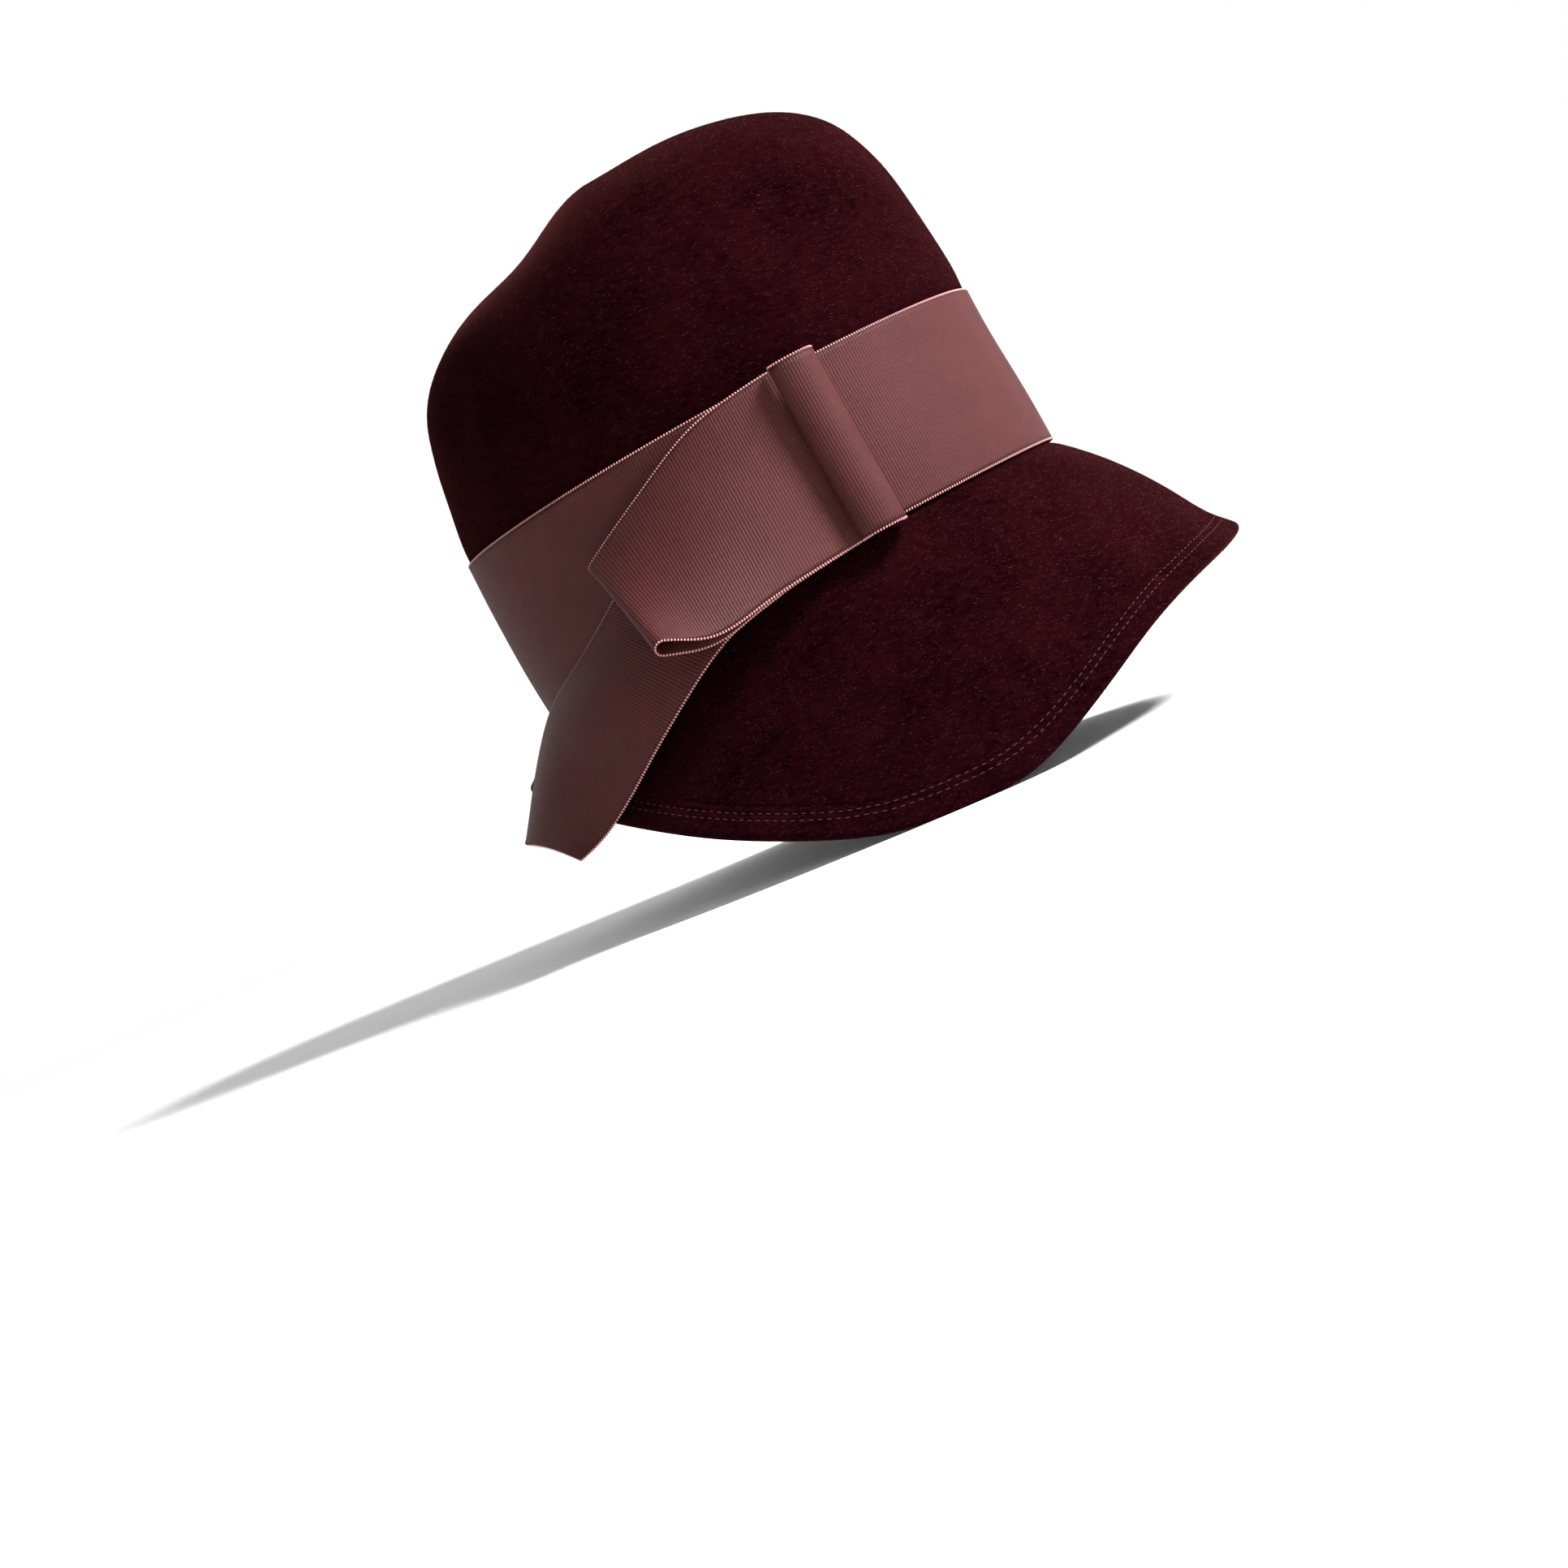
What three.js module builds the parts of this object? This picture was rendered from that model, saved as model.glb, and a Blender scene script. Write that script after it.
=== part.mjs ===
// A cloche hat in velour felt: a tall bell crown with soft dents, a deep brim that drops over the ears
// and is short at the back, a wide grosgrain band, and a side bow with one loop and one tail.
// Millimetres. +X is the wearer's front, +Y the wearer's left and +Z up. The hat stands on its brim at
// Z = 0.
import * as THREE from "three";

// Head size, measured inside the brim's collar
const HEAD_LENGTH = 187;
const HEAD_WIDTH = 160;

// Felt, ribbon, and the clearance between pieces that are sewn or laid together
const FELT = 2;
const RIBBON = 1;
const RIBBON_WIDTH = 58;
const SEWN_GAP = 0.3;

// Crown, measured up from the head-size line
const CROWN_HEIGHT = 154;

// Brim, measured out from and down from the head-size line
const BRIM_REACH = 43;
const BRIM_DROP = 87;
const BRIM_LIP = 4;
const HEM_WIDTH = 11;
const COLLAR_HEIGHT = 9;

// How the hat settles on a flat surface: front up by a little, the lowest felt pressed flat by its weight
const REST_PITCH = 6;
const RESTED_FLAT = 1.6;

// Bow on the wearer's right: where its knot sits round the head, and how far knot and ribbon stand out
const KNOT_ANGLE = 75;
const KNOT_WIDTH = 17;
const KNOT_RISE = 12;
const KNOT_HEIGHT = 61.5;
const BOW_STAND = 40;
const LOOP_OPENING = 5;
const TAIL_CROWN = 9; // how much the tail is rounded across its width where it passes over the brim

// How finely the solids are faceted
const STATIONS = 72;
const SLOPE_STEPS = 6;
const HEM_STEPS = 2;
const HEM_EDGE_STEPS = 4;
const BAND_STEPS = 4;
const LOOP_STEPS = 12;
const FOLD_STEPS = 5;
const TAIL_STEPS = 16;
const ACROSS_STEPS = 4;
const KNOT_STEPS = 3;
const SAME_PLACE = 1e-6; // corners nearer than this are one corner

// Half axes of the oval round the crown's outside at the head-size line
const crownOval = {
  length: HEAD_LENGTH / 2 + FELT + SEWN_GAP + FELT,
  width: HEAD_WIDTH / 2 + FELT + SEWN_GAP + FELT,
};
const bandFace = SEWN_GAP + RIBBON; // how far the band's outer face lies off the crown
const restTurn = new THREE.Euler(0, -THREE.MathUtils.degToRad(REST_PITCH), 0);
const restTurnBack = new THREE.Quaternion().setFromEuler(restTurn).invert();
const restUp = new THREE.Vector3(0, 0, 1).applyQuaternion(restTurnBack);

// Crown sections from the head-size line to the tip. Reaches are shares of the half length (front, back) or
// the half width (side), and rises are shares of the crown's height.
const CROWN_SECTIONS = [
  { front: 0.992, frontRise: 0, side: 1.0, sideRise: 0, back: 1.001, backRise: 0 },
  { front: 0.992, frontRise: 0.1, side: 0.998, sideRise: 0.1, back: 1.01, backRise: 0.1 },
  { front: 0.984, frontRise: 0.208, side: 0.992, sideRise: 0.208, back: 1.01, backRise: 0.208 },
  { front: 0.975, frontRise: 0.305, side: 0.985, sideRise: 0.3, back: 1.008, backRise: 0.3 },
  { front: 0.98, frontRise: 0.395, side: 0.982, sideRise: 0.385, back: 1.002, backRise: 0.375 },
  { front: 0.988, frontRise: 0.435, side: 0.982, sideRise: 0.43, back: 1.003, backRise: 0.42 },
  { front: 0.978, frontRise: 0.53, side: 0.968, sideRise: 0.52, back: 0.975, backRise: 0.51 },
  { front: 0.966, frontRise: 0.617, side: 0.948, sideRise: 0.6, back: 0.955, backRise: 0.585 },
  { front: 0.953, frontRise: 0.697, side: 0.92, sideRise: 0.675, back: 0.932, backRise: 0.64 },
  { front: 0.919, frontRise: 0.774, side: 0.878, sideRise: 0.745, back: 0.905, backRise: 0.7 },
  { front: 0.87, frontRise: 0.845, side: 0.82, sideRise: 0.81, back: 0.851, backRise: 0.755 },
  { front: 0.787, frontRise: 0.9, side: 0.735, sideRise: 0.867, back: 0.76, backRise: 0.805 },
  { front: 0.677, frontRise: 0.942, side: 0.625, sideRise: 0.91, back: 0.64, backRise: 0.85 },
  { front: 0.53, frontRise: 0.974, side: 0.49, sideRise: 0.945, back: 0.5, backRise: 0.887 },
  { front: 0.36, frontRise: 0.997, side: 0.34, sideRise: 0.97, back: 0.35, backRise: 0.906 },
  { front: 0.19, frontRise: 1.001, side: 0.18, sideRise: 0.986, back: 0.19, backRise: 0.948 },
  { front: 0.09, frontRise: 0.999, side: 0.085, sideRise: 0.991, back: 0.09, backRise: 0.978 },
  { front: 0, frontRise: 0.993, side: 0, sideRise: 0.993, back: 0, backRise: 0.993 },
];

// Dents pressed into the crown. Centre and size are shares of the half length, half width and height; the
// direction is the way that the felt is pushed, and depth is a share of the height.
const CROWN_DENTS = [
  // Saddle behind the tip
  { at: [-0.36, 0, 0.93], size: [0.17, 0.85, 0.2], push: [0.2, 0, -1], depth: 0.038 },
  // Pinch at the back right
  { at: [-0.82, -0.5, 0.64], size: [0.12, 0.14, 0.1], push: [1, 0.6, 0], depth: 0.02 },
];

// Brim at a few angles round the head, from the front (0) to the back (180). Reach and drop are shares of
// the brim's greatest reach and drop, lip is a share of the lip, and bow is how much the slope is rounded.
const BRIM_SECTIONS = [
  { angle: 0, reach: 0.985, drop: 0.625, lip: 1.0, bow: 0.25 },
  { angle: 21, reach: 0.92, drop: 0.652, lip: 0.9, bow: 0.21 },
  { angle: 38, reach: 0.875, drop: 0.696, lip: 0.7, bow: 0.15 },
  { angle: 51, reach: 0.905, drop: 0.762, lip: 0.6, bow: 0.14 },
  { angle: 66, reach: 0.95, drop: 0.895, lip: 0.5, bow: 0.14 },
  { angle: 76, reach: 0.98, drop: 0.98, lip: 0.5, bow: 0.14 },
  { angle: 85, reach: 1.0, drop: 1.0, lip: 0.5, bow: 0.14 },
  { angle: 97, reach: 0.98, drop: 0.95, lip: 0.5, bow: 0.14 },
  { angle: 114, reach: 0.92, drop: 0.75, lip: 0.6, bow: 0.12 },
  { angle: 137, reach: 0.69, drop: 0.46, lip: 0.7, bow: 0.08 },
  { angle: 158, reach: 0.51, drop: 0.26, lip: 0.8, bow: 0.05 },
  { angle: 180, reach: 0.44, drop: 0.19, lip: 0.8, bow: 0.05 },
];

// The edges of the bow's loop and tail, from the knot (0) to the far end (1). Angles go round the head from
// the front by the wearer's right, heights are shares of the ribbon's width above the head-size line, and
// stands are shares of the bow's stand off the band.
const LOOP_TOP_EDGE = [
  { at: 0, angle: 77.5, height: 1.025, stand: 0.093 },
  { at: 0.1, angle: 82, height: 1.02, stand: 0.095 },
  { at: 0.36, angle: 96, height: 0.965, stand: 0.112 },
  { at: 0.7, angle: 111, height: 0.775, stand: 0.125 },
  { at: 1, angle: 124.6, height: 0.591, stand: 0.17 },
];
const LOOP_LOW_EDGE = [
  { at: 0, angle: 77.5, height: -0.02, stand: 0.093 },
  { at: 0.1, angle: 81.5, height: -0.028, stand: 0.125 },
  { at: 0.36, angle: 96, height: -0.06, stand: 0.42 },
  { at: 0.7, angle: 106.5, height: -0.108, stand: 0.77 },
  { at: 1, angle: 112.4, height: 0.005, stand: 1.0 },
];
const TAIL_TOP_EDGE = [
  { at: 0, angle: 78, height: 0.985, stand: 0.026 },
  { at: 0.15, angle: 92, height: 0.89, stand: 0.027 },
  { at: 0.3, angle: 107, height: 0.66, stand: 0.03 },
  { at: 0.45, angle: 127, height: 0.343, stand: 0.04 },
  { at: 0.6, angle: 140, height: 0.176, stand: 0.06 },
  { at: 0.75, angle: 158.5, height: -0.012, stand: 0.17 },
  { at: 0.9, angle: 163, height: -0.34, stand: 0.53 },
  { at: 1, angle: 168.5, height: -0.565, stand: 0.7 },
];
const TAIL_LOW_EDGE = [
  { at: 0, angle: 78, height: 0.01, stand: 0.026 },
  { at: 0.15, angle: 88, height: -0.02, stand: 0.07 },
  { at: 0.3, angle: 98, height: -0.08, stand: 0.26 },
  { at: 0.45, angle: 107.5, height: -0.15, stand: 0.53 },
  { at: 0.6, angle: 122, height: -0.43, stand: 0.68 },
  { at: 0.75, angle: 131, height: -0.62, stand: 0.75 },
  { at: 0.9, angle: 138, height: -0.76, stand: 0.88 },
  { at: 1, angle: 142, height: -0.81, stand: 1.03 },
];

// How far the loop's two layers stand apart, and how much the tail is rounded, along their length
const LOOP_GAPE = [
  { at: 0, share: 0.26 },
  { at: 0.1, share: 0.26 },
  { at: 0.36, share: 0.4 },
  { at: 0.7, share: 0.75 },
  { at: 1, share: 1.0 },
];
const TAIL_ROUNDING = [
  { at: 0, share: 0 },
  { at: 0.15, share: 0 },
  { at: 0.3, share: 0.1 },
  { at: 0.45, share: 0.3 },
  { at: 0.6, share: 0.7 },
  { at: 0.75, share: 1 },
  { at: 0.9, share: 1 },
  { at: 1, share: 0.9 },
];

// The knot's section, once round the middle of its ribbon: along is a share of the knot's width, from its
// back side to its front side, and stand is a share of its rise off the band.
const KNOT_SECTION = [
  { along: -0.47, stand: 0.45 },
  { along: -0.5, stand: 0.62 },
  { along: -0.42, stand: 0.84 },
  { along: -0.22, stand: 0.97 },
  { along: 0.02, stand: 1.0 },
  { along: 0.25, stand: 0.9 },
  { along: 0.42, stand: 0.64 },
  { along: 0.5, stand: 0.3 },
  { along: 0.46, stand: 0.075 },
  { along: 0.25, stand: 0.075 },
  { along: -0.02, stand: 0.12 },
  { along: -0.2, stand: 0.44 },
];

// Straight out of the crown's oval at a parameter angle.
function outwardAt(angle) {
  const forward = Math.cos(angle) / crownOval.length;
  const sideways = Math.sin(angle) / crownOval.width;
  return new THREE.Vector3(forward, sideways, 0).normalize();
}

// A column of a table at a place between its rows, on a smooth curve. Level ends are for a table that goes
// on as its own mirror image past its first and last rows.
function between(rows, key, column, at, levelEnds) {
  const last = rows.length - 1;
  let i = 0;
  while (i < last - 1 && at > rows[i + 1][key]) i += 1;
  const slope = (k) => {
    if (levelEnds && (k === 0 || k === last)) return 0;
    const before = rows[Math.max(k - 1, 0)];
    const after = rows[Math.min(k + 1, last)];
    return (after[column] - before[column]) / (after[key] - before[key]);
  };
  const span = rows[i + 1][key] - rows[i][key];
  const t = (at - rows[i][key]) / span;
  return (
    rows[i][column] * (1 + 2 * t) * (1 - t) ** 2 +
    rows[i + 1][column] * (3 - 2 * t) * t ** 2 +
    slope(i) * span * t * (1 - t) ** 2 -
    slope(i + 1) * span * t ** 2 * (1 - t)
  );
}

// A closed solid skinned over outlines of equal length. The outlines go all the way round when the last
// joins the first; otherwise both ends are capped between each outline's first and second half.
function skinned(outlines, joined) {
  const around = outlines[0].length;
  const corners = [];
  const face = (a, b, c) => {
    const same = (p, q) => p.distanceTo(q) < SAME_PLACE;
    if (!same(a, b) && !same(b, c) && !same(c, a)) corners.push(a, b, c);
  };
  const quad = (a, b, c, d) => {
    face(a, b, c);
    face(a, c, d);
  };
  const spans = joined ? outlines.length : outlines.length - 1;
  for (let i = 0; i < spans; i += 1) {
    const here = outlines[i];
    const next = outlines[(i + 1) % outlines.length];
    for (let j = 0; j < around; j += 1) {
      const k = (j + 1) % around;
      quad(here[j], here[k], next[k], next[j]);
    }
  }
  if (!joined) {
    for (const [outline, flipped] of [[outlines[0], true], [outlines.at(-1), false]]) {
      for (let j = 0; j + 1 < around / 2; j += 1) {
        const ring = [outline[j], outline[j + 1], outline[around - 2 - j], outline[around - 1 - j]];
        if (flipped) ring.reverse();
        quad(...ring);
      }
    }
  }
  let volume = 0;
  for (let i = 0; i < corners.length; i += 3) {
    volume += corners[i].dot(new THREE.Vector3().crossVectors(corners[i + 1], corners[i + 2]));
  }
  if (volume < 0) corners.reverse();
  return new THREE.BufferGeometry().setFromPoints(corners);
}

// The direction square to a grid of points at one of them.
function squareTo(grid, i, j, joined) {
  const rows = grid.length;
  const before = joined ? (i + rows - 1) % rows : Math.max(i - 1, 0);
  const after = joined ? (i + 1) % rows : Math.min(i + 1, rows - 1);
  const along = grid[after][j].clone().sub(grid[before][j]);
  const last = grid[i].length - 1;
  const across = grid[i][Math.min(j + 1, last)].clone().sub(grid[i][Math.max(j - 1, 0)]);
  return along.cross(across).normalize();
}

// A strip of ribbon whose middle runs through a grid of points: rows along it, and points across it.
function strip(grid, joined) {
  const outlines = grid.map((row, i) => {
    const moved = (point, j, by) => point.clone().addScaledVector(squareTo(grid, i, j, joined), by);
    const face = (side) => row.map((point, j) => moved(point, j, (side * RIBBON) / 2));
    return [...face(1), ...face(-1).reverse()];
  });
  return skinned(outlines, joined);
}

// Even shares of a length, from 0 to 1
function shares(steps) {
  return Array.from({ length: steps + 1 }, (_, k) => k / steps);
}

const angles = Array.from({ length: STATIONS }, (_, j) => (j / STATIONS) * 2 * Math.PI);

function felt(name, geometry) {
  const material = new THREE.MeshStandardMaterial({ color: "#26090f", roughness: 0.95, metalness: 0 });
  const mesh = new THREE.Mesh(geometry, material);
  mesh.name = name;
  return mesh;
}

function ribbon(name, geometry) {
  const material = new THREE.MeshStandardMaterial({ color: "#6b3338", roughness: 0.7, metalness: 0 });
  const mesh = new THREE.Mesh(geometry, material);
  mesh.name = name;
  return mesh;
}

// Crown
function crownPoint(section, angle) {
  const c = Math.cos(angle);
  const s = Math.sin(angle);
  const [reach, rise] = c >= 0 ? [section.front, section.frontRise] : [section.back, section.backRise];
  return new THREE.Vector3(
    c * reach * crownOval.length,
    s * section.side * crownOval.width,
    CROWN_HEIGHT * (rise * c * c + section.sideRise * s * s),
  );
}

function dented(point) {
  const moved = point.clone();
  for (const dent of CROWN_DENTS) {
    const away = Math.hypot(
      (point.x / crownOval.length - dent.at[0]) / dent.size[0],
      (point.y / crownOval.width - dent.at[1]) / dent.size[1],
      (point.z / CROWN_HEIGHT - dent.at[2]) / dent.size[2],
    );
    const push = new THREE.Vector3(...dent.push).normalize();
    moved.addScaledVector(push, dent.depth * CROWN_HEIGHT * Math.exp(-away * away));
  }
  return moved;
}

function crown() {
  const outside = CROWN_SECTIONS.map((row) => angles.map((angle) => dented(crownPoint(row, angle))));
  const tip = outside.length - 1;
  const outward = (i, j) => {
    if (i === tip) return new THREE.Vector3(0, 0, 1);
    const up = outside[i + 1][j].clone().sub(outside[Math.max(i - 1, 0)][j]);
    const along = outside[i][(j + 1) % STATIONS].clone().sub(outside[i][(j + STATIONS - 1) % STATIONS]);
    return along.cross(up).normalize();
  };
  const outlines = angles.map((_, j) => {
    const inside = outside.map((row, i) => row[j].clone().addScaledVector(outward(i, j), -FELT));
    return [...outside.map((row) => row[j]), ...inside.reverse()];
  });
  return felt("crown", skinned(outlines, true));
}

// The crown's wall at any height, as far up as the band covers it
function crownWall(angle, height) {
  const rows = CROWN_SECTIONS.map((section) => crownPoint(section, angle));
  let i = 0;
  while (rows[i + 1].z < height) i += 1;
  return rows[i].clone().lerp(rows[i + 1], (height - rows[i].z) / (rows[i + 1].z - rows[i].z));
}

// Brim
function brimSurface(angle) {
  const degrees = Math.abs(THREE.MathUtils.radToDeg(Math.atan2(Math.sin(angle), Math.cos(angle))));
  const at = (column) => between(BRIM_SECTIONS, "angle", column, degrees, true);
  const outward = outwardAt(angle);
  const foot = crownWall(angle, 0);
  const collar = (height) => crownWall(angle, height).addScaledVector(outward, -FELT - SEWN_GAP);
  const reach = at("reach") * BRIM_REACH;
  const drop = at("drop") * BRIM_DROP;
  const bow = at("bow");
  const lip = at("lip") * BRIM_LIP;
  const hem = HEM_WIDTH / Math.hypot(reach, drop);
  const place = (t) => {
    const turn = Math.max(0, (t - (1 - hem)) / hem);
    const out = (reach - lip) * (t + bow * t * (1 - t)) + lip * turn * turn;
    const down = drop * (t - bow * t * (1 - t));
    return foot.clone().addScaledVector(outward, out).setZ(-SEWN_GAP - down);
  };
  const slope = shares(SLOPE_STEPS).map((share) => place((1 - hem) * share));
  const turned = shares(HEM_STEPS).map((share) => place(1 - hem + hem * share));
  return [collar(COLLAR_HEIGHT), collar(0).setZ(-SEWN_GAP), ...slope, ...turned.slice(1)];
}

function brim() {
  const columns = angles.map(brimSurface);
  const rows = columns[0].map((_, i) => columns.map((column) => column[i]));
  const last = rows.length - 1;
  const hemStart = last - HEM_STEPS;
  const outward = (i, j) => {
    const down = rows[Math.min(i + 1, last)][j].clone().sub(rows[Math.max(i - 1, 0)][j]);
    const along = rows[i][(j + 1) % STATIONS].clone().sub(rows[i][(j + STATIONS - 1) % STATIONS]);
    return down.cross(along).normalize();
  };
  const hemEdge = (j) => {
    const square = outward(last, j);
    const onward = rows[last][j].clone().sub(rows[last - 1][j]).normalize();
    const middle = rows[last][j].clone().addScaledVector(square, -FELT);
    return shares(HEM_EDGE_STEPS).slice(1, -1).map((share) => {
      const turn = Math.PI * share;
      return middle
        .clone()
        .addScaledVector(square, FELT * Math.cos(turn))
        .addScaledVector(onward, FELT * Math.sin(turn));
    });
  };
  const outlines = angles.map((_, j) => {
    const under = (i, layers) => rows[i][j].clone().addScaledVector(outward(i, j), -layers * FELT);
    const hemUnder = [];
    for (let i = last; i >= hemStart; i -= 1) hemUnder.push(under(i, 2));
    const plainUnder = [];
    for (let i = hemStart; i >= 0; i -= 1) plainUnder.push(under(i, 1));
    return [...rows.map((row) => row[j]), ...hemEdge(j), ...hemUnder, ...plainUnder];
  });
  const floor = Math.min(...outlines.flat().map((point) => point.dot(restUp))) + RESTED_FLAT;
  for (const point of outlines.flat()) {
    point.addScaledVector(restUp, Math.max(0, floor - point.dot(restUp)));
  }
  return felt("brim", skinned(outlines, true));
}

// Band
function band() {
  const outlines = angles.map((angle) => {
    const wall = shares(BAND_STEPS).map((share) => crownWall(angle, SEWN_GAP + share * RIBBON_WIDTH));
    const face = (off) => wall.map((point) => point.clone().addScaledVector(outwardAt(angle), off));
    return [...face(bandFace), ...face(SEWN_GAP).reverse()];
  });
  return ribbon("band", skinned(outlines, true));
}

// A place off the band on the wearer's right, at an angle round the head. Below the head-size line it keeps
// the place of the band's lower edge.
function offBand(degrees, height, stand) {
  const angle = THREE.MathUtils.degToRad(-degrees);
  const wall = crownWall(angle, THREE.MathUtils.clamp(height, 0, RIBBON_WIDTH));
  return wall.addScaledVector(outwardAt(angle), bandFace + stand).setZ(height);
}

// Bow. A row across a length of ribbon, from its top edge to its low edge.
function bowRow(topEdge, lowEdge, at) {
  const end = (edge) => {
    const value = (column) => between(edge, "at", column, at, false);
    return offBand(value("angle"), value("height") * RIBBON_WIDTH, value("stand") * BOW_STAND);
  };
  return shares(ACROSS_STEPS).map((share) => end(topEdge).lerp(end(lowEdge), share));
}

function bowTail() {
  const flat = shares(TAIL_STEPS).map((at) => bowRow(TAIL_TOP_EDGE, TAIL_LOW_EDGE, at));
  const across = shares(ACROSS_STEPS);
  const grid = flat.map((row, i) => {
    const rounding = TAIL_CROWN * between(TAIL_ROUNDING, "at", "share", i / TAIL_STEPS, false);
    return row.map((point, j) => {
      const arch = Math.sin(Math.PI * across[j]) * rounding;
      return point.clone().addScaledVector(squareTo(flat, i, j, false), arch);
    });
  });
  return ribbon("bow_tail", strip(grid, false));
}

function bowLoop() {
  const front = shares(LOOP_STEPS).map((at) => bowRow(LOOP_TOP_EDGE, LOOP_LOW_EDGE, at));
  const opening = (i) => LOOP_OPENING * between(LOOP_GAPE, "at", "share", i / LOOP_STEPS, false);
  const back = front.map((row, i) =>
    row.map((point, j) => point.clone().addScaledVector(squareTo(front, i, j, false), -opening(i))),
  );
  const radius = opening(LOOP_STEPS) / 2;
  const turns = shares(FOLD_STEPS + 1).slice(1, -1);
  const fold = turns.map((share) =>
    front[LOOP_STEPS].map((point, j) => {
      const square = squareTo(front, LOOP_STEPS, j, false);
      const onward = point.clone().sub(front[LOOP_STEPS - 1][j]).normalize();
      return point
        .clone()
        .addScaledVector(square, -radius * (1 - Math.cos(Math.PI * share)))
        .addScaledVector(onward, radius * Math.sin(Math.PI * share));
    }),
  );
  return ribbon("bow_loop", strip([...front, ...fold, ...back.reverse()], false));
}

function bowKnot() {
  const middle = THREE.MathUtils.degToRad(-KNOT_ANGLE);
  const alongBand = new THREE.Vector3(-outwardAt(middle).y, outwardAt(middle).x, 0);
  const low = SEWN_GAP + (RIBBON_WIDTH - KNOT_HEIGHT) / 2;
  const grid = KNOT_SECTION.map((point) =>
    shares(KNOT_STEPS).map((share) => {
      const foot = offBand(KNOT_ANGLE, low + share * KNOT_HEIGHT, point.stand * KNOT_RISE);
      return foot.addScaledVector(alongBand, point.along * KNOT_WIDTH);
    }),
  );
  return ribbon("bow_knot", strip(grid, true));
}

const hat = new THREE.Group();
hat.add(crown(), brim(), band(), bowTail(), bowLoop(), bowKnot());

// The rested hat's frame has its origin in the middle of its base.
hat.rotation.copy(restTurn);
const size = new THREE.Box3().setFromObject(hat, true);
hat.position.set(-(size.min.x + size.max.x) / 2, -(size.min.y + size.max.y) / 2, -size.min.z);
const assembly = new THREE.Group();
assembly.add(hat);

export default assembly;
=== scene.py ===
# %% [markdown]
# Cloche hat in burgundy velour felt
#
# The hat is two blocked shells of felt, a crown and a brim, with a wide grosgrain ribbon sewn round the
# join and a flat side bow of the same ribbon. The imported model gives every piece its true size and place.
# This script gives each one its finish, its fine surface and its sewing.

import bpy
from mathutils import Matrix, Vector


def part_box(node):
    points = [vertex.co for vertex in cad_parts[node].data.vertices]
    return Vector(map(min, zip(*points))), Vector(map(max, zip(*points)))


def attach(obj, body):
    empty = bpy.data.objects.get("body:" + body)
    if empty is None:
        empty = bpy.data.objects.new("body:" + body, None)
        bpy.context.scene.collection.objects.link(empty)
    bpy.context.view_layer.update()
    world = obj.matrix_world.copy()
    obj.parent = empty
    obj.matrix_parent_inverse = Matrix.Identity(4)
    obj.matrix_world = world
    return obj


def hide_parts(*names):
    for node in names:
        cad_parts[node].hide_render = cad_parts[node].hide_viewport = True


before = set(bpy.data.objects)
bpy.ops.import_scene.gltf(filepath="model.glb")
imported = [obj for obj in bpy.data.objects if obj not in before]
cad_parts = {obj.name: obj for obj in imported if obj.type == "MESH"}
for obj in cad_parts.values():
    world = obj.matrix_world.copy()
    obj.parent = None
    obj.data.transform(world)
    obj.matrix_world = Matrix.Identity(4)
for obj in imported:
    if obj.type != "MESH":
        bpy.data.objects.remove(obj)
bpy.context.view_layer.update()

# %% [markdown]
# The hat has its own upright axes: the band's lower edge lies level in them, and the middle of the head
# opening is their origin. At rest the hat pitches its front up a little, so each place on the hat is turned
# and moved from its own axes to the frame's. Sizes are real ones, in millimetres, turned to metres by MM.

# %% The hat's own axes
import math
import random

import bmesh
import bpy
from mathutils import Matrix, Vector
from mathutils.bvhtree import BVHTree
from mathutils.kdtree import KDTree

MM = 0.001
REST_PITCH = math.radians(6)
HEAD_CENTRE = Vector((-11.865, 0, 87.305)) * MM
RIBBON_WIDTH = 58 * MM

hat_axes = Matrix.Translation(HEAD_CENTRE) @ Matrix.Rotation(-REST_PITCH, 4, "Y")


def on_hat(x, y, z):
    """A place given in millimetres along the hat's own axes, in the frame's metres."""
    return hat_axes @ (Vector((x, y, z)) * MM)


hat_turn = hat_axes.to_3x3()
hat_up = hat_turn @ Vector((0, 0, 1))
hat_middle = on_hat(0, 0, 40)
print("the head opening's middle is at", [round(x, 4) for x in on_hat(0, 0, 0)])

# %% [markdown]
# The camera stands a metre off the hat's right side, a little below the band, and is rolled until the
# hat tilts as it does when worn. The lens follows from how many pixels of the square picture a metre takes
# up at that distance.

# %% Camera
CAMERA_DISTANCE = 1000
CAMERA_ALONG = -40.3
CAMERA_HEIGHT = -30
AIM_HEIGHT = -59.1
PIXELS_PER_METRE = 3560
PICTURE_SIDE = 1932
SENSOR = 36
WORN_TILT = math.radians(29)

camera_data = bpy.data.cameras.new("camera")
camera_data.sensor_width = SENSOR
camera_data.lens = SENSOR * (PIXELS_PER_METRE / PICTURE_SIDE)
camera = bpy.data.objects.new("camera", camera_data)
bpy.context.scene.collection.objects.link(camera)
bpy.context.scene.camera = camera

camera_place = on_hat(CAMERA_ALONG, -CAMERA_DISTANCE, CAMERA_HEIGHT)
camera_aim = on_hat(CAMERA_ALONG, 0, AIM_HEIGHT)
photo_up = hat_turn @ Vector((math.sin(WORN_TILT), 0, math.cos(WORN_TILT)))
backwards = (camera_place - camera_aim).normalized()
rightwards = photo_up.cross(backwards).normalized()
upwards = backwards.cross(rightwards)
camera_turn = Matrix((rightwards, upwards, backwards)).transposed()
camera.matrix_world = Matrix.Translation(camera_place) @ camera_turn.to_4x4()
print("the camera is", round(camera_place.z, 3), "m above the floor")

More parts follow.
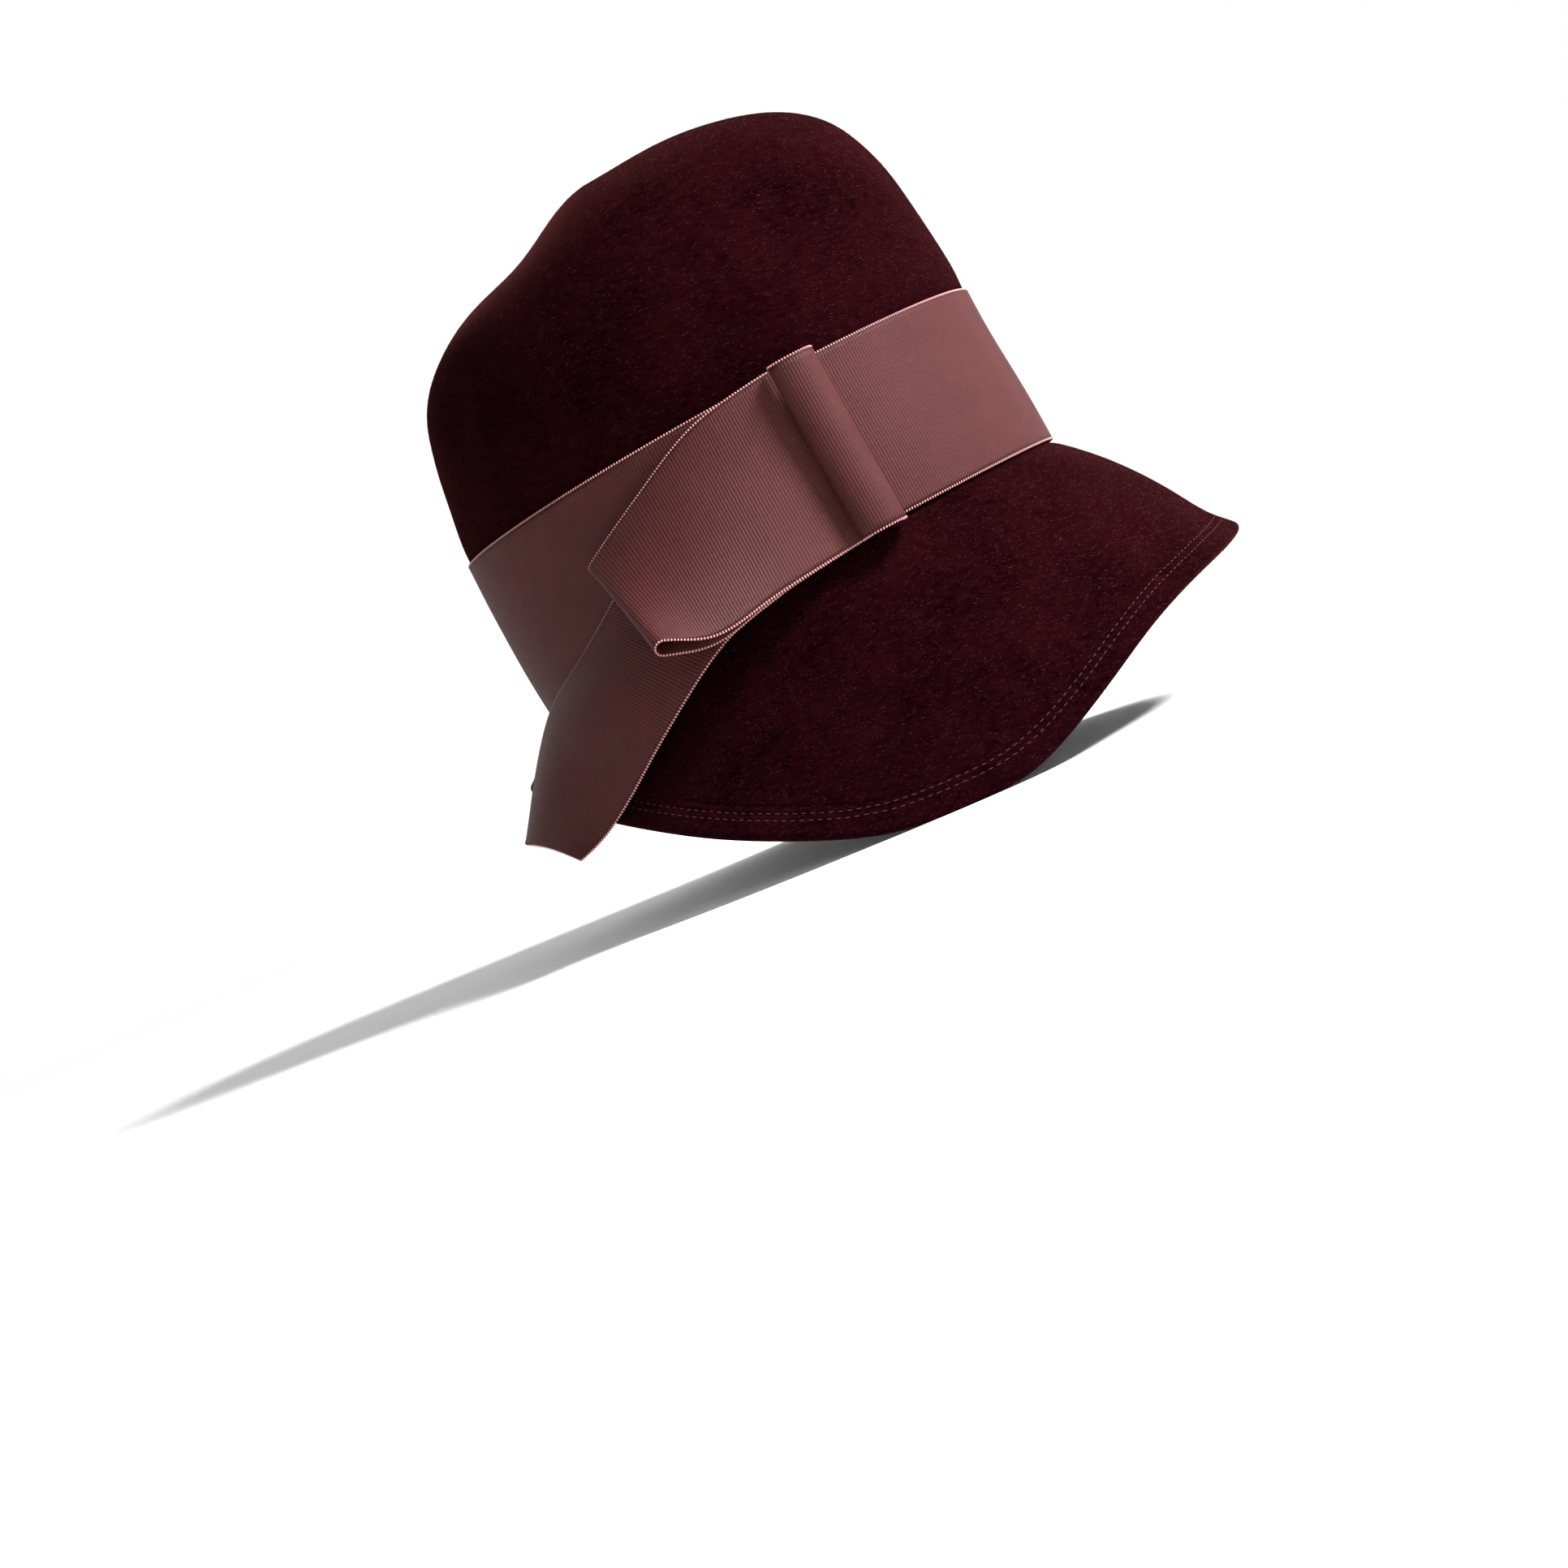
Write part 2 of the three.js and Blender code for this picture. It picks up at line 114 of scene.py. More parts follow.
# %% [markdown]
# A round studio cove is a floor that curls up into its own wall, so no edge or horizon shows from any
# side. It starts as a flat circle, and its rim is extruded up in steps that follow a quarter circle.

# %% Studio cove
COVE_FLOOR = 1.5
COVE_CURVE = 1.0
COVE_STEPS = 10
COVE_WALL = 1.2


def deselect_all():
    """Nothing is selected and no mode but object mode is on."""
    if bpy.context.object and bpy.context.object.mode != "OBJECT":
        bpy.ops.object.mode_set(mode="OBJECT")
    bpy.ops.object.select_all(action="DESELECT")


deselect_all()
bpy.ops.mesh.primitive_circle_add(vertices=96, radius=COVE_FLOOR, fill_type="NGON")
cove = bpy.context.object
cove.name = "studio_cove"
bpy.ops.object.mode_set(mode="EDIT")
bpy.ops.mesh.select_mode(type="EDGE")
radius = COVE_FLOOR
height = 0
for step in range(1, COVE_STEPS + 1):
    turn = math.pi / 2 * step / COVE_STEPS
    new_radius = COVE_FLOOR + COVE_CURVE * math.sin(turn)
    new_height = COVE_CURVE * (1 - math.cos(turn))
    bpy.ops.mesh.select_all(action="DESELECT")
    bpy.ops.mesh.select_non_manifold()
    bpy.ops.mesh.extrude_edges_move(TRANSFORM_OT_translate={"value": (0, 0, new_height - height)})
    share = new_radius / radius
    bpy.ops.transform.resize(value=(share, share, 1), center_override=(0, 0, 0))
    radius = new_radius
    height = new_height
bpy.ops.mesh.extrude_edges_move(TRANSFORM_OT_translate={"value": (0, 0, COVE_WALL)})
bpy.ops.mesh.select_all(action="SELECT")
bpy.ops.mesh.normals_make_consistent(inside=True)
bpy.ops.object.mode_set(mode="OBJECT")
bpy.ops.object.shade_smooth()
print("the cove has", len(cove.data.polygons), "faces")

# %% [markdown]
# Every material is made with the same few functions. One turns an sRGB hex colour to linear, one starts a
# material, and one adds a node with its settings and its links. A ramp and a sum are nodes that come often,
# so each has a short name of its own.

# %% Material helpers


def linear(hex_colour):
    """An sRGB colour such as 7b4348 as linear red, green, blue and alpha."""
    parts = [int(hex_colour[i : i + 2], 16) / 255 for i in (0, 2, 4)]
    return [p / 12.92 if p <= 0.04045 else ((p + 0.055) / 1.055) ** 2.4 for p in parts] + [1]


def new_material(name):
    """A named node material and its shader, with nothing linked to it yet."""
    material = bpy.data.materials.new(name)
    material.use_nodes = True
    return material, material.node_tree.nodes["Principled BSDF"]


def add_node(material, kind, settings=None, **sockets):
    """A new node. Each socket is set to a number or a colour, or linked to another node's socket."""
    node = material.node_tree.nodes.new(kind)
    for name, value in (settings or {}).items():
        setattr(node, name, value)
    for name, value in sockets.items():
        key = int(name[1:]) if name[0] == "_" else name.replace("_", " ")
        if isinstance(value, bpy.types.NodeSocket):
            material.node_tree.links.new(value, node.inputs[key])
        else:
            node.inputs[key].default_value = value
    return node


def blend_colours(material, share, first, second):
    """A colour ramp that goes from the first colour to the second as the share rises."""
    ramp = add_node(material, "ShaderNodeValToRGB", Fac=share)
    ramp.color_ramp.elements[0].color = linear(first)
    ramp.color_ramp.elements[1].color = linear(second)
    return ramp


def sums(material, operation, first, second=0.0, third=0.5):
    """The socket of one sum. The third number counts only where the operation adds it."""
    settings = {"operation": operation}
    return add_node(material, "ShaderNodeMath", settings, _0=first, _1=second, _2=third).outputs[0]


# %% [markdown]
# A studio's floor is a roll of matt white paper. It has no pattern, so one pale colour and a high roughness
# are all that it needs.

# %% Paper floor
paper, shader = new_material("paper_backdrop")
shader.inputs["Base Color"].default_value = linear("f8f8f8")
shader.inputs["Roughness"].default_value = 0.9
cove.data.materials.append(paper)

# %% [markdown]
# Velour felt is fur felt whose surface is raised and brushed to a dense short nap. It swallows light
# that falls straight on it and glows a little where it is seen or lit at a low angle, which is what the
# sheen of the shader gives. The nap lies this way and that, so the colour is mottled at two sizes: broad
# brushed patches and fine tufts drawn out along the brushing.

# %% Velour felt
NAP_PATCH = 26 * MM
NAP_TUFT = 1.6 * MM
NAP_GRAIN = 0.55 * MM
PATCH_SHARE = 0.35

felt, shader = new_material("velour_felt")
place = add_node(felt, "ShaderNodeTexCoord").outputs["Object"]
patches = add_node(felt, "ShaderNodeTexNoise", Vector=place, Scale=1 / NAP_PATCH, Detail=3.0)
brushed = add_node(felt, "ShaderNodeMapping", Vector=place, Scale=(0.45, 0.45, 1.0))
tufts = add_node(
    felt,
    "ShaderNodeTexNoise",
    Vector=brushed.outputs[0],
    Scale=1 / NAP_TUFT,
    Detail=4.0,
    Roughness=0.7,
)
grain = add_node(felt, "ShaderNodeTexNoise", Vector=place, Scale=1 / NAP_GRAIN, Detail=2.0)
mottle = sums(felt, "MULTIPLY", patches.outputs[0], PATCH_SHARE)
mottle = sums(felt, "ADD", mottle, sums(felt, "MULTIPLY", tufts.outputs[0], 1 - PATCH_SHARE))
felt_colour = blend_colours(felt, mottle, "050001", "1b0508")
felt_colour.color_ramp.elements[0].position = 0.32
felt_colour.color_ramp.elements[1].position = 0.72
felt.node_tree.links.new(felt_colour.outputs[0], shader.inputs["Base Color"])
relief = sums(felt, "ADD", sums(felt, "MULTIPLY", tufts.outputs[0], 0.7), grain.outputs[0])
bump = add_node(felt, "ShaderNodeBump", Height=relief, Strength=0.5, Distance=0.35 * MM)
felt.node_tree.links.new(bump.outputs[0], shader.inputs["Normal"])
shader.inputs["Roughness"].default_value = 1.0
shader.inputs["Specular IOR Level"].default_value = 0.0
shader.inputs["Sheen Weight"].default_value = 0.17
shader.inputs["Sheen Roughness"].default_value = 0.4
shader.inputs["Sheen Tint"].default_value = linear("7a4440")
print("felt material has", len(felt.node_tree.nodes), "nodes")

# %% [markdown]
# Grosgrain is a ribbed ribbon: a thick weft lies straight across it, packed under a fine silky warp, so
# round ribs run from edge to edge. The real ribs are about 0.55 mm apart, which is finer than a picture of
# the whole hat can show, so they are drawn 1.1 mm apart. Each ribbon has its own UV map in metres,
# with U along its length and V across it, and the ribs follow U.

# %% Grosgrain
RIB_PITCH = 1.1 * MM
WARP_PITCH = 0.5 * MM
BROAD_PITCH = 18 * MM
SELVEDGE = 1.1 * MM
# How much darker the grooves between the ribs are painted than the crests: painted shade.
RIB_PAINTED_SHADE = 0.4
WARP_SHADE = 0.45
BROAD_SHADE = 0.25
SELVEDGE_SHADE = 0.3


def grosgrain(name, dark, light):
    """A ribbed ribbon cloth between two colours, on a UV map in metres."""
    cloth, shader = new_material(name)
    flat = add_node(cloth, "ShaderNodeUVMap", {"uv_map": "ribbon"}).outputs[0]
    along = add_node(cloth, "ShaderNodeSeparateXYZ", Vector=flat)
    turns = sums(cloth, "MULTIPLY", along.outputs[0], 2 * math.pi / RIB_PITCH)
    rib = sums(cloth, "MULTIPLY_ADD", sums(cloth, "SINE", turns), 0.5, 0.5)
    stretched = add_node(cloth, "ShaderNodeMapping", Vector=flat, Scale=(0.12, 1.0, 1.0))
    warp = add_node(cloth, "ShaderNodeTexNoise", Vector=stretched.outputs[0], Scale=1 / WARP_PITCH)
    shade = add_node(cloth, "ShaderNodeTexNoise", Vector=flat, Scale=1 / BROAD_PITCH, Detail=2.0)
    # The rib crests are painted lighter and the grooves between them darker: painted shade on top of the
    # bump.
    mix = sums(cloth, "MULTIPLY", rib, RIB_PAINTED_SHADE)
    mix = sums(cloth, "ADD", mix, sums(cloth, "MULTIPLY", warp.outputs[0], WARP_SHADE))
    mix = sums(cloth, "ADD", mix, sums(cloth, "MULTIPLY", shade.outputs[0], BROAD_SHADE))
    off_middle = sums(cloth, "ABSOLUTE", sums(cloth, "SUBTRACT", along.outputs[1], RIBBON_WIDTH / 2))
    selvedge = sums(cloth, "GREATER_THAN", off_middle, RIBBON_WIDTH / 2 - SELVEDGE)
    mix = sums(cloth, "SUBTRACT", mix, sums(cloth, "MULTIPLY", selvedge, SELVEDGE_SHADE))
    colour = blend_colours(cloth, mix, dark, light)
    colour.color_ramp.elements[0].position = 0.15
    colour.color_ramp.elements[1].position = 0.85
    cloth.node_tree.links.new(colour.outputs[0], shader.inputs["Base Color"])
    relief = sums(cloth, "ADD", rib, sums(cloth, "MULTIPLY", warp.outputs[0], 0.3))
    bump = add_node(cloth, "ShaderNodeBump", Height=relief, Strength=0.45, Distance=0.2 * MM)
    cloth.node_tree.links.new(bump.outputs[0], shader.inputs["Normal"])
    shader.inputs["Roughness"].default_value = 0.62
    shader.inputs["Specular IOR Level"].default_value = 0.1
    shader.inputs["Sheen Weight"].default_value = 0.03
    shader.inputs["Sheen Roughness"].default_value = 0.4
    shader.inputs["Sheen Tint"].default_value = linear("a86a68")
    return cloth


ribbon_cloth = grosgrain("rayon_grosgrain", "210a0c", "46201f")
print("ribbon material:", ribbon_cloth.name)

# %% [markdown]
# The felt shells are already right in the frame, as loose triangles. A copy is merged and turned to
# quads, and a Subdivision Surface rounds it as the steam and the block round the real felt. The shells could
# be drawn anew, but then they wouldn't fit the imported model.

# %% Felt shells


def copy_of(node, name):
    """A copy of a node's mesh, merged and in quads, as a new selected object."""
    deselect_all()
    piece = bpy.data.objects.new(name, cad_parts[node].data.copy())
    bpy.context.scene.collection.objects.link(piece)
    bpy.context.view_layer.objects.active = piece
    piece.select_set(True)
    piece.data.materials.clear()
    bpy.ops.object.mode_set(mode="EDIT")
    bpy.ops.mesh.customdata_custom_splitnormals_clear()
    bpy.ops.mesh.select_all(action="SELECT")
    bpy.ops.mesh.remove_doubles(threshold=0.01 * MM)
    bpy.ops.mesh.tris_convert_to_quads(
        face_threshold=math.pi, shape_threshold=math.pi, topology_influence=2.0
    )
    bpy.ops.object.mode_set(mode="OBJECT")
    return piece


def subdivide(piece, levels):
    """Rounds the piece with a Subdivision Surface, applied."""
    rounding = piece.modifiers.new("rounding", "SUBSURF")
    rounding.levels = levels
    rounding.render_levels = levels
    rounding.boundary_smooth = "PRESERVE_CORNERS"
    bpy.ops.object.modifier_apply(modifier=rounding.name)


felt_shells = {}
for node in ("crown", "brim"):
    shell = copy_of(node, "felt_" + node)
    subdivide(shell, 2)
    bpy.ops.object.shade_smooth()
    shell.data.materials.append(felt)
    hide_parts(node)
    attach(shell, "root")
    felt_shells[node] = shell
    print(shell.name, len(shell.data.polygons), "faces")

# %% [markdown]
# A ribbon is a thin flat sheet. Its solid in the frame is a little thicker than the real cloth, so only
# the side that looks outwards is kept. Of the broad faces that look to the hat's right the outermost is
# picked, the selection grows over the smooth side up to the sharp rim, and the rest is deleted.

# %% Ribbon sheets, outward side only
RIM_ANGLE = math.radians(62)
OUTWARDS = Vector((0, -1, 0))
FACING = 0.5
BROAD_DIVISOR = 3


def outer_sheet(node, name):
    """The outward side of a ribbon's solid, as an open sheet of quads."""
    piece = copy_of(node, name)
    mesh = piece.data
    widest = max(face.area for face in mesh.polygons)
    facing = [face for face in mesh.polygons if face.normal.dot(OUTWARDS) > FACING]
    broad = [face for face in facing if face.area > widest / BROAD_DIVISOR]
    first = max(broad, key=lambda face: face.center.dot(OUTWARDS)).index
    bpy.ops.object.mode_set(mode="EDIT")
    bpy.ops.mesh.select_mode(type="FACE")
    bpy.ops.mesh.select_all(action="DESELECT")
    edited = bmesh.from_edit_mesh(mesh)
    edited.faces.ensure_lookup_table()
    edited.faces[first].select_set(True)
    bpy.ops.mesh.faces_select_linked_flat(sharpness=RIM_ANGLE)
    bpy.ops.mesh.select_all(action="INVERT")
    bpy.ops.mesh.delete(type="FACE")
    bpy.ops.object.mode_set(mode="OBJECT")
    return piece


# %% [markdown]
# Ribs and selvedges follow the ribbon as it lay flat before it was sewn, so each sheet is unrolled to a
# UV map of its true size. The sheet is a grid of quads. From one quad the walk steps over each edge to the
# next, and counts columns along the ribbon and rows across it. Each column's length and each row's width
# are then the mean of their own edges.

# %% Unrolling a ribbon


def height_across(loop):
    """How far a quad rises from a corner to the opposite one."""
    return (loop.link_loop_next.link_loop_next.vert.co - loop.vert.co).dot(hat_up)


def grid_of(first):
    """Each quad's column, row and lowest corner loop, walked from the first quad."""
    low = max(first.loops, key=height_across)
    cells = {first: (0, 0, low)}
    waiting = [first]
    while waiting:
        face = waiting.pop(0)
        column, row, low = cells[face]
        right = low.link_loop_next
        top = right.link_loop_next
        left = top.link_loop_next
        sides = ((right, 1, (1, 0)), (top, 0, (0, 1)), (left, 3, (-1, 0)), (low, 2, (0, -1)))
        for loop, turns, step in sides:
            other = loop.link_loop_radial_next
            if other is loop or other.face in cells:
                continue
            for _ in range(turns):
                other = other.link_loop_next
            cells[other.face] = (column + step[0], row + step[1], other)
            waiting.append(other.face)
    return cells


def running_sums(lengths):
    """Where each column or row starts, from a dictionary of its edges' lengths."""
    starts = {}
    total = 0.0
    for k in range(min(lengths), max(lengths) + 1):
        starts[k] = total
        total += sum(lengths[k]) / len(lengths[k])
    starts[max(lengths) + 1] = total
    return starts, total


def unroll(piece):
    """Gives the sheet its UV map, and returns its length."""
    sheet = bmesh.new()
    sheet.from_mesh(piece.data)
    layer = sheet.loops.layers.uv.new("ribbon")
    sheet.faces.ensure_lookup_table()
    cells = grid_of(sheet.faces[0]).values()
    if len({row for _, row, _ in cells}) > len({column for column, _, _ in cells}):
        cells = [(-row, column, low.link_loop_prev) for column, row, low in cells]
    columns, rows = {}, {}
    for column, row, low in cells:
        columns.setdefault(column, []).append(low.edge.calc_length())
        rows.setdefault(row, []).append(low.link_loop_next.edge.calc_length())
    starts, length = running_sums(columns)
    levels, width = running_sums(rows)
    for column, row, low in cells:
        loop = low
        for right, up in ((0, 0), (1, 0), (1, 1), (0, 1)):
            loop[layer].uv = (starts[column + right], levels[row + up] / width * RIBBON_WIDTH)
            loop = loop.link_loop_next
    sheet.to_mesh(piece.data)
    sheet.free()
    return length


# %% [markdown]
# Each sheet is rounded by subdivision, and a Solidify modifier gives it its real thickness inwards, so
# its face stays where the frame has it. Each ribbon is listed with the piece that it lies on. The corners
# along the selvedges and along the tail's cut end are kept in order for the sewing and the fraying below.

# %% The four ribbons
CLOTH = 0.5 * MM
AT_EDGE = 0.001
SAME_PLACE = 1e-6
RIBBONS = {
    "band": ["felt_crown"],
    "bow_tail": ["ribbon_band"],
    "bow_loop": ["ribbon_bow_tail"],
    "bow_knot": ["ribbon_band"],
}

knot_low, knot_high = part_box("bow_knot")
knot_middle = (knot_low + knot_high) / 2


def in_order(mesh, corners):
    """The places and normals of a dictionary of corners, in the order of its keys."""
    found = [mesh.vertices[corners[key]] for key in sorted(corners)]
    return [(corner.co.copy(), corner.normal.copy()) for corner in found]


def edges_of(piece):
    """Both selvedges of an unrolled sheet: for each, its places and normals in order along the ribbon."""
    mesh = piece.data
    found = {0: {}, 1: {}}
    for loop, corner in zip(mesh.loops, mesh.uv_layers["ribbon"].data):
        share = corner.uv.y / RIBBON_WIDTH
        if min(share, 1 - share) < AT_EDGE:
            found[round(share)][round(corner.uv.x, 6)] = loop.vertex_index
    return [in_order(mesh, side) for side in found.values()]


def far_end_of(piece):
    """The places and normals across the end of an unrolled sheet that is farthest from the knot."""
    mesh = piece.data
    flat = mesh.uv_layers["ribbon"].data
    corners = [(loop.vertex_index, corner.uv) for loop, corner in zip(mesh.loops, flat)]
    nearest = min(corners, key=lambda corner: (mesh.vertices[corner[0]].co - knot_middle).length)
    far = max((uv.x for _, uv in corners), key=lambda u: abs(u - nearest[1].x))
    at_end = [(index, uv) for index, uv in corners if abs(uv.x - far) < SAME_PLACE]
    return in_order(mesh, {round(uv.y, 6): index for index, uv in at_end})


ribbon_edges = []
ribbon_pieces = {}
for node, carriers in RIBBONS.items():
    sheet = outer_sheet(node, "ribbon_" + node)
    print(sheet.name, "starts with", len(sheet.data.polygons), "faces,", len(sheet.data.vertices), "corners")
    subdivide(sheet, 3)
    length = unroll(sheet)
    bpy.ops.object.shade_smooth()
    ribbon_edges += edges_of(sheet)
    if node == "bow_tail":
        tail_end = far_end_of(sheet)
    cloth = sheet.modifiers.new("cloth", "SOLIDIFY")
    cloth.thickness = CLOTH
    cloth.offset = -1
    bpy.ops.object.modifier_apply(modifier=cloth.name)
    sheet.data.materials.append(ribbon_cloth)
    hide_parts(node)
    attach(sheet, "root")
    ribbon_pieces[node] = (sheet, length, carriers)
    area = sum(face.area for face in sheet.data.polygons) / 2
    print(sheet.name, len(sheet.data.polygons), "faces,", round(length / MM), "mm long, area", round(area, 5))

# %% [markdown]
# Along both edges of grosgrain the weft turns back round the last warp threads and makes a row of tiny
# loops. One loop is modelled as a small squashed sphere and copied along every selvedge.

# %% Many small things along a line


def stepped(line, pitch, closed=False):
    """Places an even pitch apart along a line of (place, normal), each with its direction."""
    places = []
    travelled = 0.0
    due = pitch / 2
    ends = line + line[:1] if closed else line
    for (here, normal), (there, _) in zip(ends, ends[1:]):
        span = there - here
        while due <= travelled + span.length:
            share = (due - travelled) / span.length
            places.append((here + span * share, span.normalized(), normal))
            due += pitch
        travelled += span.length
    return places


def turned_to(place, along, normal):
    """The matrix that puts a small thing at a place, its X along the line and its Z off the surface."""
    side = normal.cross(along).normalized()
    off = along.cross(side)
    turn = Matrix((along, side, off)).transposed().to_4x4()
    return Matrix.Translation(place) @ turn


def many(name, template, matrices, material):
    """One mesh that holds a copy of the template at each matrix; the template is deleted."""
    corners = [v.co.copy() for v in template.data.vertices]
    faces = [tuple(face.vertices) for face in template.data.polygons]
    made = bpy.data.meshes.new(name)
    all_corners = [matrix @ corner for matrix in matrices for corner in corners]
    all_faces = [tuple(i + k * len(corners) for i in face) for k in range(len(matrices)) for face in faces]
    made.from_pydata(all_corners, [], all_faces)
    made.shade_smooth()
    made.materials.append(material)
    piece = bpy.data.objects.new(name, made)
    bpy.context.scene.collection.objects.link(piece)
    bpy.data.objects.remove(template)
    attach(piece, "root")
    print(name, len(matrices), "copies,", len(all_faces), "faces")
    return piece


# %% [markdown]
# The loops are painted much paler than the cloth, a painted highlight where their round yarn catches the
# light.
# They sit half the cloth's thickness below its face, so they peep out past the edge. The pitch is drawn
# coarser, as the ribs are.

# %% Selvedge loops
LOOP_PITCH = 1.05 * MM
LOOP_SIZE = (0.42 * MM, 0.5 * MM, 0.36 * MM)

painted_highlight_yarn, shader = new_material("selvedge_yarn_painted_highlight")
# Painted highlight: the loops are the ribbon's own yarn, coloured paler than the cloth.
shader.inputs["Base Color"].default_value = linear("a26a66")
shader.inputs["Roughness"].default_value = 0.6

deselect_all()
bpy.ops.mesh.primitive_uv_sphere_add(segments=6, ring_count=4, radius=1)
bead = bpy.context.object
bead.data.transform(Matrix.Diagonal((*LOOP_SIZE, 1)))
loops = [
    turned_to(place - normal * CLOTH / 2, along, normal)
    for line in ribbon_edges
    for place, along, normal in stepped(line, LOOP_PITCH)
]
selvedges = many("ribbon_selvedges", bead, loops, painted_highlight_yarn)

# %% [markdown]
# The hem is turned under and held by two rows of running stitches. A row lies at one distance from the
# hat's edge, so at each angle round the head rays are shot inwards from outside, from the lowest height
# up, and the hits are followed up the slope until that distance is reached. Each row is then evened out, as
# a seamstress's eye does.

# %% Hem lines
STITCH_ROWS = (8.2 * MM, 10.7 * MM)
HEM_ANGLES = 240
RAY_START = 200
LOWEST_HEM = -100
RAY_STEP = 0.25
HEM_REACH = 16.5 * MM
HEM_EVENING = 3

brim_shell = felt_shells["brim"]
brim_surface = BVHTree.FromObject(brim_shell, bpy.context.evaluated_depsgraph_get())


def up_the_slope(angle):
    """The places and normals up the brim's outside from its edge, at an angle round the head."""
    c, s = math.cos(angle), math.sin(angle)
    inwards = hat_turn @ Vector((-c, -s, 0))
    profile = []
    height = LOWEST_HEM
    while height < 0:
        start = on_hat(RAY_START * c, RAY_START * s, height)
        place, normal, _, _ = brim_surface.ray_cast(start, inwards, RAY_START * MM)
        if place is not None:
            profile.append((place, normal))
            if (profile[0][0] - place).length > HEM_REACH:
                break
        height += RAY_STEP
    return profile


def at_distance(profile, distance):
    """The place and normal that lie a distance up the slope from the edge."""
    travelled = 0.0
    for (here, _), (there, normal) in zip(profile, profile[1:]):
        step = (there - here).length
        if travelled + step >= distance:
            return here.lerp(there, (distance - travelled) / step), normal
        travelled += step
    return profile[-1]


def evened(line):
    """A closed line with each place moved to the mean of its neighbours, back on the felt's surface."""
    count = len(line)
    smooth = []
    for k in range(count):
        near = [line[(k + step) % count][0] for step in range(-HEM_EVENING, HEM_EVENING + 1)]
        mean = sum(near, Vector()) / len(near)
        place, normal, _, _ = brim_surface.find_nearest(mean)
        smooth.append((place, normal))
    return smooth


slopes = [up_the_slope(math.tau * k / HEM_ANGLES) for k in range(HEM_ANGLES)]
stitch_lines = [evened([at_distance(profile, row) for profile in slopes]) for row in STITCH_ROWS]
print("hem edge found at", len(slopes), "angles")

# %% [markdown]
# Each stitch is a short length of cotton that sinks into the nap at both ends. One drawn-out sphere is
# copied along both rows, and most of it lies below the felt's surface, so the thread hardly stands out.

# %% Hem stitches
STITCH_PITCH = 2.9 * MM
STITCH_LENGTH = 1.15 * MM
STITCH_THICKNESS = 0.2 * MM
STITCH_SINK = 0.12 * MM

thread, shader = new_material("cotton_thread")
shader.inputs["Base Color"].default_value = linear("3c1f28")
shader.inputs["Roughness"].default_value = 0.7
shader.inputs["Specular IOR Level"].default_value = 0.1

deselect_all()
bpy.ops.mesh.primitive_uv_sphere_add(segments=8, ring_count=6, radius=1, rotation=(0, math.pi / 2, 0))
bpy.ops.object.transform_apply(rotation=True)
stitch = bpy.context.object
stitch.data.transform(Matrix.Diagonal((STITCH_LENGTH, STITCH_THICKNESS, STITCH_THICKNESS, 1)))
places = [
    turned_to(place - normal * STITCH_SINK, along, normal)
    for line in stitch_lines
    for place, along, normal in stepped(line, STITCH_PITCH, closed=True)
]
stitches = many("hem_stitches", stitch, places, thread)

# %% [markdown]
# Where the rows are sewn the nap is drawn down into two shallow grooves. Each corner of the brim is told
# how far it lies from the hat's edge, and the felt's relief dips at the rows' distances.

# %% Sewn grooves
GROOVE_WIDTH = 0.7 * MM
GROOVE_DEPTH = 2.5
EDGE_SHARES = 6

edge_line = [profile[0][0] for profile in slopes]
edge_tree = KDTree(len(edge_line) * EDGE_SHARES)
for k, here in enumerate(edge_line):
    there = edge_line[(k + 1) % len(edge_line)]
    for part in range(EDGE_SHARES):
        edge_tree.insert(here.lerp(there, part / EDGE_SHARES), k * EDGE_SHARES + part)
edge_tree.balance()
from_edge = brim_shell.data.attributes.new("from_edge", "FLOAT", "POINT")
from_edge.data.foreach_set("value", [edge_tree.find(v.co)[2] for v in brim_shell.data.vertices])

edge_distance = add_node(felt, "ShaderNodeAttribute", {"attribute_name": "from_edge"}).outputs["Fac"]
grooved = relief
for row in STITCH_ROWS:
    off_row = sums(felt, "DIVIDE", sums(felt, "SUBTRACT", edge_distance, row), GROOVE_WIDTH)
    squared = sums(felt, "POWER", sums(felt, "ABSOLUTE", off_row), 2.0)
    dip = sums(felt, "EXPONENT", sums(felt, "MULTIPLY", squared, -1.0))
    grooved = sums(felt, "SUBTRACT", grooved, sums(felt, "MULTIPLY", dip, GROOVE_DEPTH))
felt.node_tree.links.new(grooved, bump.inputs["Height"])
print("farthest corner of the brim from its edge:", round(max(d.value for d in from_edge.data), 3))

# %% [markdown]
# The tail's end is cut on the slant and has begun to fray: short red thread ends stick out of the cut. Each
# is a slender sphere that points off the cut, turned a little one way or the other by a seeded dice.

# %% Frayed end
FRAY_LENGTH = 0.5 * MM
FRAY_THICKNESS = 0.11 * MM
FRAY_PITCH = 0.9 * MM
FRAY_SWING = 0.6

fray_thread, shader = new_material("cut_weft_ends")
shader.inputs["Base Color"].default_value = linear("6e1f2c")
shader.inputs["Roughness"].default_value = 0.7

deselect_all()
bpy.ops.mesh.primitive_uv_sphere_add(segments=6, ring_count=4, radius=1)
weft_end = bpy.context.object
weft_end.data.transform(Matrix.Diagonal((FRAY_THICKNESS, FRAY_LENGTH, FRAY_THICKNESS, 1)))
dice = random.Random(7)
ends = [
    turned_to(place, along, normal) @ Matrix.Rotation(dice.uniform(-FRAY_SWING, FRAY_SWING), 4, "Z")
    for place, along, normal in stepped(tail_end, FRAY_PITCH)
]
fray = many("tail_fray", weft_end, ends, fray_thread)
